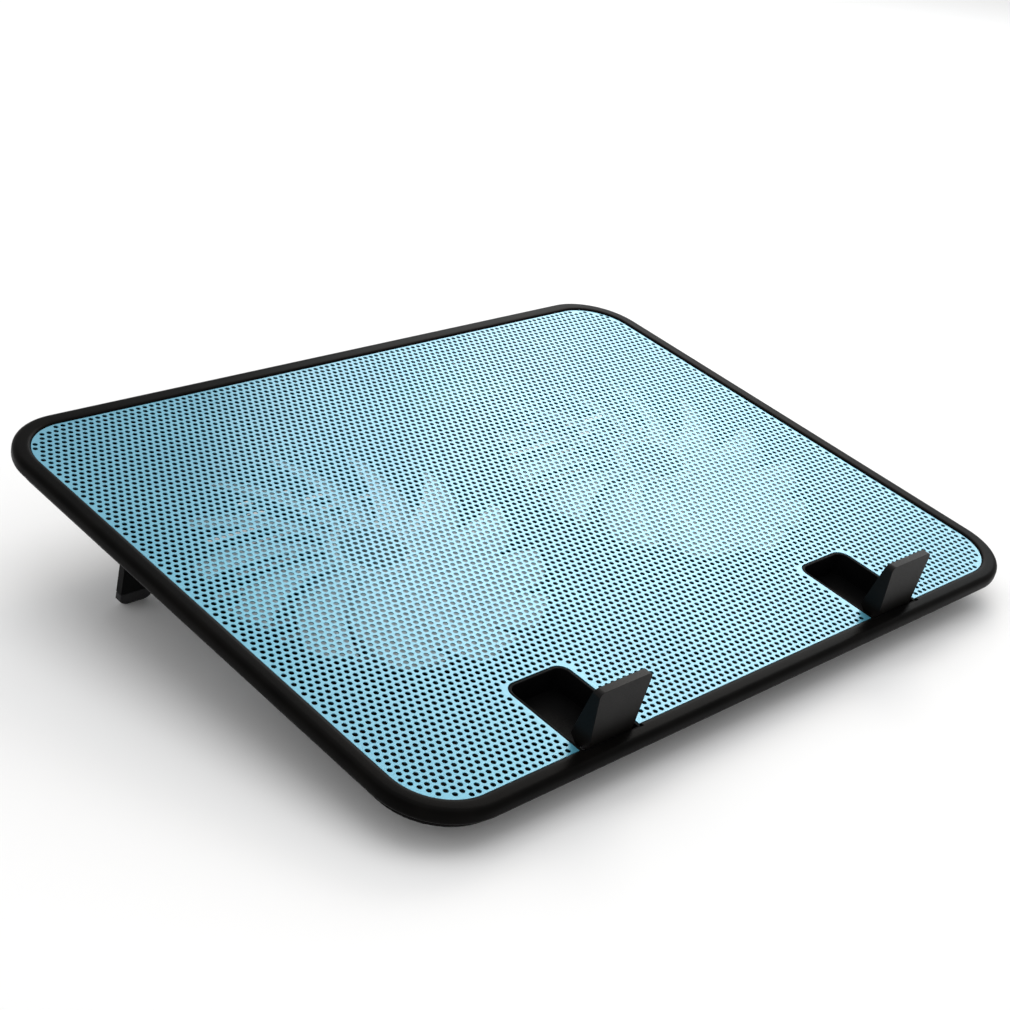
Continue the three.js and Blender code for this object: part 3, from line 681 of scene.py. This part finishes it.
def stop_face(x, inset):
    """The stop seen from the front, as (x, z): wider towards its top, with round top corners."""
    corner = STOP["corner"]
    base_half = STOP["base_half"] - inset
    top_half = (STOP_HIGH.x - STOP_LOW.x) / 2 - inset
    high = STOP_HIGH.z - inset
    base = STOP_PIN.z
    outline = [(x - base_half, base), (x + base_half, base), (x + top_half, high - corner)]
    outline += curve_to(outline[-1], (x + top_half, high), (x + top_half - corner, high), 6)
    outline.append((x - top_half + corner, high))
    outline += curve_to(outline[-1], (x - top_half, high), (x - top_half, high - corner), 6)
    return outline


def build_stop(name, sign):
    x = sign * WELL_X
    front, high = STOP_LOW.y, STOP_HIGH.z
    root = STOP_HIGH.y
    tip = front + STOP["tip"]
    wall = STOP["wall"]
    base = STOP_PIN.z
    heel = base - STOP["heel"]
    side_outline = [(front, heel), (STOP_PIN.y + 2, heel), (root, 0.2), (tip, high), (front, high)]
    wedge = make_mesh("wedge", lambda bm: add_prism_y(bm, stop_face(x, 0), front, root))
    side = make_mesh("side", lambda bm: add_prism_x(bm, side_outline, x - BEYOND, x + BEYOND))
    wedge = boolean(wedge, side, "INTERSECT")

    def hollow(bm):
        face = [(px, max(pz, wall)) for px, pz in stop_face(x, wall)]
        add_prism_y(bm, face, tip - STOP["skin"], root + 1)

    wedge = boolean(wedge, make_mesh("hollow", hollow), "DIFFERENCE")
    reach = STOP["barrel_half"]
    barrel = make_mesh("barrel", lambda bm: add_side_rod(
        bm, x - reach, x + reach, STOP_PIN.y, base, STOP["barrel_r"], 40))
    wedge = boolean(wedge, barrel, "UNION")
    bore = make_mesh("bore", lambda bm: add_side_rod(
        bm, x - BEYOND, x + BEYOND, STOP_PIN.y, base, STOP["bore_r"], 20))
    wedge = boolean(wedge, bore, "DIFFERENCE")
    piece(f"stop_plate_{name}", wedge, f"{name}_stop", "stop_plastic", [f"stop_{name}"], bevel=0.35)


# ---------------------------------------------------------------- feet and rest pads
def build_foot(name, sign):
    x = sign * FOOT_PIN.x
    half = (FOOT_HIGH.x - FOOT_LOW.x) / 2
    front, rear, low = FOOT_LOW.y, FOOT_HIGH.y, FOOT_LOW.z
    knuckle = rear - FOOT_PIN.y

    def leg(bm):
        top = arc(FOOT_PIN.y, FOOT_PIN.z, knuckle, 0, 180, 14)
        add_prism_x(bm, [(front, low), (rear, low), *top], x - half, x + half)

    bore = make_mesh("bore", lambda bm: add_side_rod(
        bm, x - BEYOND, x + BEYOND, FOOT_PIN.y, FOOT_PIN.z, FOOT_BORE_R, 20))
    solid = boolean(make_mesh("foot", leg), bore, "DIFFERENCE")
    piece(f"foot_leg_{name}", solid, f"{name}_foot", "foot_plastic", [f"foot_{name}"], bevel=0.3)

    def shoe(bm):
        tip, top = SHOE_LOW.z, SHOE_HIGH.z
        side = tip + SHOE["side"]
        corner, flat = half - SHOE["corner"], half * SHOE["flat"]
        outline = [(x + half, top), (x - half, top), (x - half, side)]
        outline += curve_to(outline[-1], (x - corner, tip), (x - flat, tip), 8)
        outline.append((x + flat, tip))
        outline += curve_to(outline[-1], (x + corner, tip), (x + half, side), 8)
        add_prism_y(bm, outline, SHOE_LOW.y, SHOE_HIGH.y)

    piece(f"shoe_{name}", make_mesh("shoe", shoe), f"{name}_foot", "rubber",
          [f"foot_shoe_{name}"], bevel=0.25)


def build_rest_pads():
    for name, place in rest_pads():
        low, high = span(f"rubber_pad_{name}")
        mesh = make_mesh("pad", lambda bm: add_skin(bm, [
            at_height(arc(place.x, place.y, radius, 0, 360, 48)[:-1], z)
            for radius, z in ((5.4, low.z), (5.85, low.z + 0.15), (6, low.z + 0.5), (6, high.z))]))
        piece(f"rest_pad_{name}", mesh, "base", "rubber", [f"rubber_pad_{name}"])


# ---------------------------------------------------------------- fans
BLADES = 13
BLADE = {"rooted": 0.6, "sweep": 26, "low": -10.5, "high": -3.7, "camber": 0.7}
BLADE_STEPS = 16
CHORD_STEPS = 8
HUB_R = 18.0
HUB_LOW = -13.2
HUB_WALL = 1.6
HUB_EDGE = 1.3  # how far the rounding of the hub's top edge reaches
LABEL_R = 13.5
WINDING = {"turns": 7, "first_r": 7.2, "pitch": 0.55, "wire_r": 0.26, "half_y": 2.5, "spread": 0.12,
           "corner": 0.8, "over": 0.7}
DRIVER_RING_R = 16.6
DRIVER_PARTS = (  # angle in degrees, width and height
    (20, 2.2, 0.9), (48, 1.2, 0.6), (70, 1.2, 0.6), (200, 2.6, 0.9), (235, 1.0, 0.5), (262, 1.0, 0.5))


def add_blade(bm, cx, cy, start):
    """A cambered blade: its chord runs from the low trailing edge to the high leading edge."""
    root_r = HUB_R - BLADE["rooted"]
    tip_r = ROTOR_HIGH.x - FAN.x
    rings = []
    for s in range(BLADE_STEPS + 1):
        t = s / BLADE_STEPS
        r = root_r + (tip_r - root_r) * t
        sweep = math.radians(BLADE["sweep"]) * t ** 1.2
        width = 8.5 + 11 * math.sin(math.pi * min(1, 0.1 + 0.55 * t)) - 3 * t ** 4
        half = width / r / 2
        low = BLADE["low"] + 0.5 * t
        high = BLADE["high"]
        upper, lower = [], []
        for c in range(CHORD_STEPS + 1):
            u = c / CHORD_STEPS
            angle = start + sweep + half * (2 * u - 1)
            camber = BLADE["camber"] * math.sin(math.pi * u)
            z = low + (high - low - 0.65) * u + camber
            thick = 0.25 + 0.45 * math.sin(math.pi * min(1, u + 0.15)) ** 0.7
            place = (cx + r * math.cos(angle), cy + r * math.sin(angle))
            upper.append((*place, z + thick))
            lower.append((*place, z - thick + 0.25))
        rings.append(lower + upper[::-1])
    add_skin(bm, rings)


def add_hub(bm, cx, cy):
    """A cup open below, with a shallow groove round its top."""
    top, groove = ROTOR_HIGH.z, ROTOR_HIGH.z - 0.25
    inner, under = HUB_R - HUB_WALL, top - HUB_WALL
    profile = [(0.02, top), (HUB_R - 3.2, top), (HUB_R - 2.9, groove), (HUB_R - 2.4, groove),
               (HUB_R - 2.1, top), (HUB_R - HUB_EDGE, top)]
    profile += curve_to(profile[-1], (HUB_R, top), (HUB_R, top - HUB_EDGE), 6)
    profile += [(HUB_R, HUB_LOW), (inner, HUB_LOW), (inner, under), (0.02, under)]
    add_turned(bm, cx, cy, profile, 96)


def build_fan(name, sign):
    cx, cy = sign * FAN.x, FAN.y
    body = f"{name}_fan"

    def rotor(bm):
        add_hub(bm, cx, cy)
        for blade in range(BLADES):
            add_blade(bm, cx, cy, 2 * math.pi * blade / BLADES)

    piece(f"rotor_{name}", make_mesh("rotor", rotor), body, "fan_plastic", [f"fan_rotor_{name}"])

    low, high = span(f"fan_label_{name}")
    edge = ((LABEL_R, low.z), (LABEL_R, high.z - 0.12), (LABEL_R - 0.2, high.z), (0.5, high.z))
    disc = make_mesh("disc", lambda bm: add_skin(bm, [
        at_height(arc(cx, cy, radius, 0, 360, 64)[:-1], z) for radius, z in edge]))
    piece(f"hub_disc_{name}", disc, body, "label", [f"fan_label_{name}"])
    build_stator(name, cx, cy)
    build_motor_board(name, cx, cy)


def build_stator(name, cx, cy):
    """The stator stays a CAD node; each pole gets a winding of turned wire."""
    low, high = span(f"fan_stator_{name}")
    centre_z = (low.z + high.z) / 2
    half_z = (high.z - low.z) / 2 + WINDING["over"]
    outwards = Vector((1, 0, 0))

    def windings(bm):
        for pole in range(4):
            turn = Matrix.Rotation(pole * math.pi / 2, 4, "Z")
            for wire in range(WINDING["turns"]):
                r = WINDING["first_r"] + wire * WINDING["pitch"]
                half_y = WINDING["half_y"] + WINDING["spread"] * wire
                loop = rounded(-half_y, half_y, -half_z, half_z, WINDING["corner"], 3)
                rings = []
                for y, z in loop:
                    out = Vector((0, y, z)).normalized()
                    ring = [Vector((r, y, z))
                            + WINDING["wire_r"] * (math.cos(a) * outwards + math.sin(a) * out)
                            for a in (math.tau * k / 6 for k in range(6))]
                    rings.append([turn @ point + Vector((cx, cy, centre_z)) for point in ring])
                add_skin(bm, rings, True)

    mesh = make_mesh("windings", windings)
    piece(f"windings_{name}", mesh, "base", "stator", material="winding", sharp=80)


def build_motor_board(name, cx, cy):
    """Small driver parts on the ring board under the rotor."""
    top = span(f"fan_motor_board_{name}")[1].z

    def parts(bm):
        for angle, size, tall in DRIVER_PARTS:
            turn = math.radians(angle)
            x, y = cx + DRIVER_RING_R * math.cos(turn), cy + DRIVER_RING_R * math.sin(turn)
            add_block(bm, x - size / 2, x + size / 2, y - size / 3, y + size / 3, top, top + tall)

    piece(f"driver_parts_{name}", make_mesh("parts", parts), "base", "board", material="chip",
          bevel=0.1)


# ---------------------------------------------------------------- electronics and fixings
LEAD_ROUTES = {
    "left": ((-82, 25.3), (-82, 50), (-82, 74), (-82, 84), (-70, 95), (-40, 104), (0, 108),
             (27.7, 108)),
    "right": ((82, 25.3), (82, 50), (82, 74), (82, 84), (82, 95.7)),
}
WIRE = {"r": 0.5, "apart": 0.52, "twist": 0.7}
USB_CHIP = (33, 38, 104, 108, 1.5)  # left, right, front, rear and height
USB_RESISTORS = {"count": 5, "first": 52, "pitch": 3, "width": 1.6, "front": 100, "rear": 101,
                 "height": 0.6}
USB_CAPACITORS = ((76, 107, 2.4, 5.0), (83, 104, 1.8, 3.5))  # x, y, radius and height
SOCKET_LEG = {"x": 5.5, "half": 0.4, "front": 5.0, "rear": 2.0}
SCREW_HEAD = 1.7


def smooth_route(points, z, steps=8):
    """A Catmull-Rom curve through flat points at height z."""
    flat = [Vector((x, y, z)) for x, y in points]
    padded = [2 * flat[0] - flat[1], *flat, 2 * flat[-1] - flat[-2]]
    route = []
    for a, b, c, d in zip(padded, padded[1:], padded[2:], padded[3:]):
        for i in range(steps):
            t = i / steps
            route.append(0.5 * ((2 * b) + (c - a) * t + (2 * a - 5 * b + 4 * c - d) * t * t
                                + (3 * b - a - 3 * c + d) * t ** 3))
    route.append(flat[-1])
    return route


def build_leads():
    """Each lead is a pair of twisted wires."""
    for name, _ in SIDES:
        route = smooth_route(LEAD_ROUTES[name], middle(f"fan_lead_{name}").z)
        up = Vector((0, 0, 1))

        def wires(bm):
            for phase in (0, math.pi):
                path = []
                for i, point in enumerate(route):
                    after = route[min(i + 1, len(route) - 1)] - route[max(i - 1, 0)]
                    across = after.normalized().cross(up)
                    turn = phase + i * WIRE["twist"]
                    offset = math.cos(turn) * across + math.sin(turn) * up
                    path.append(point + WIRE["apart"] * offset)
                add_tube(bm, path, WIRE["r"], 8)

        piece(f"lead_{name}", make_mesh("lead", wires), "base", "cable",
              [f"fan_lead_{name}"], sharp=80)


def build_usb_parts():
    top = BOARD_HIGH.z

    def parts(bm):
        add_block(bm, *USB_CHIP[:4], top, top + USB_CHIP[4])
        row = USB_RESISTORS
        for i in range(row["count"]):
            x = row["first"] + i * row["pitch"]
            add_block(bm, x, x + row["width"], row["front"], row["rear"], top, top + row["height"])
        for x, y, radius, height in USB_CAPACITORS:
            add_rod(bm, x, y, radius, top, top + height, 32, 0.3)

    piece("usb_parts", make_mesh("parts", parts), "base", "board", material="chip", bevel=0.1)

    def legs(bm):
        for number in (1, 2):
            place, low = middle(f"usb_socket_{number}"), span(f"usb_socket_{number}")[0]
            for side in (-1, 1):
                x = place.x + side * SOCKET_LEG["x"]
                add_block(bm, x - SOCKET_LEG["half"], x + SOCKET_LEG["half"],
                          BOARD_HIGH.y - SOCKET_LEG["front"], BOARD_HIGH.y - SOCKET_LEG["rear"],
                          top, low.z)

    piece("usb_legs", make_mesh("legs", legs), "base", "steel")


def build_screws():
    for number, place in screw_places():
        low, high = span(f"cover_screw_{number}")

        def screw(bm):
            under_head = low.z + SCREW_HEAD
            profile = [(1.6, low.z), (2.2, low.z + 0.2), (2.5, low.z + 0.75), (2.5, under_head),
                       (1.2, under_head), (1.2, high.z - 0.8), (0.3, high.z)]
            add_skin(bm, [at_height(arc(place.x, place.y, radius, 0, 360, 32)[:-1], z)
                          for radius, z in profile])

        crossed = make_mesh("cross", lambda bm: add_skin(bm, [
            at_height(cross_outline(place), z) for z in (low.z - 1, low.z + 0.9)]))
        mesh = boolean(make_mesh("screw", screw), crossed, "DIFFERENCE")
        piece(f"screw_{number}", mesh, "base", "steel", [f"cover_screw_{number}"])


def cross_outline(place):
    """The recess of a cross-head screw."""
    arm, half = 1.5, 0.32
    quarter = [(arm, -half), (arm, half), (half, half)]
    points = []
    for turn in range(4):
        cos, sin = round(math.cos(turn * math.pi / 2)), round(math.sin(turn * math.pi / 2))
        points += [(place.x + x * cos - y * sin, place.y + x * sin + y * cos) for x, y in quarter]
    return points


# ---------------------------------------------------------------- CAD nodes that stay
def finish_cad_nodes():
    kept = {"shaft": "steel", "pin": "steel", "socket": "steel", "bearing": "brass",
            "magnet": "magnet", "stator": "stator", "board": "board"}
    for name, thing in frame["nodes"].items():
        for word, slot in kept.items():
            if word in name:
                thing.data.materials.clear()
                thing.data.materials.append(MATERIALS[slot])
                thing.data.shade_smooth()
                thing.data.set_sharp_from_angle(angle=math.radians(32))


# ---------------------------------------------------------------- floor, lights and camera
def add_floor():
    mesh = make_mesh("floor", lambda bm: bmesh.ops.create_grid(bm, size=12))
    floor = bpy.data.objects.new("floor", mesh)
    scene.collection.objects.link(floor)
    mesh.materials.append(surface(
        "pale_floor", (0.86, 0.86, 0.86), (0.88, 0.88, 0.88), (0.7, 0.8), patch=2, bump=0.02))


def add_light(name, place, target, width, height, power, colour=(1, 1, 1)):
    light = bpy.data.lights.new(name, "AREA")
    light.shape = "RECTANGLE"
    light.size = width
    light.size_y = height
    light.energy = power
    light.color = colour
    lamp = bpy.data.objects.new(name, light)
    lamp.location = place
    lamp.rotation_euler = (Vector(target) - Vector(place)).to_track_quat("-Z", "Y").to_euler()
    scene.collection.objects.link(lamp)


def add_lights():
    add_light("overhead", (0.0, 0.0, 3.2), (0, 0, 0), 3.0, 3.0, 26)
    add_light("rear_right", (1.46, 0.75, 0.99), (0.05, 0, 0.03), 1.2, 0.8, 7.8, (0.93, 0.98, 1.0))
    add_light("sheen", (1.15, 0.59, 1.1), (0, 0, 0.04), 0.6, 0.6, 2.6, (1.0, 0.86, 0.74))
    world = bpy.data.worlds.new("studio")
    scene.world = world
    world.use_nodes = True
    background = world.node_tree.nodes["Background"]
    background.inputs["Color"].default_value = (1, 1, 1, 1)
    background.inputs["Strength"].default_value = 0.86


def add_camera():
    eye = Vector((-0.52126, -0.47272, 0.33692))
    target = Vector((-0.01397, 0.00186, 0.03993))
    roll = math.radians(5.404)
    data = bpy.data.cameras.new("camera")
    data.lens = 66.658
    data.sensor_width = 36
    camera = bpy.data.objects.new("camera", data)
    level = (target - eye).to_track_quat("-Z", "Y").to_matrix().to_4x4()
    camera.matrix_world = Matrix.Translation(eye) @ level @ Matrix.Rotation(roll, 4, "Z")
    scene.collection.objects.link(camera)
    scene.camera = camera


# ---------------------------------------------------------------- assembly
add_camera()
add_floor()
add_lights()
scene.view_settings.view_transform = "Standard"

build_sheet()
build_frame()
build_cover()
for side_name, side_sign in SIDES:
    build_well(side_name, side_sign)
    build_stop(side_name, side_sign)
    build_foot(side_name, side_sign)
    build_fan(side_name, side_sign)
build_rest_pads()
build_leads()
build_usb_parts()
build_screws()
finish_cad_nodes()
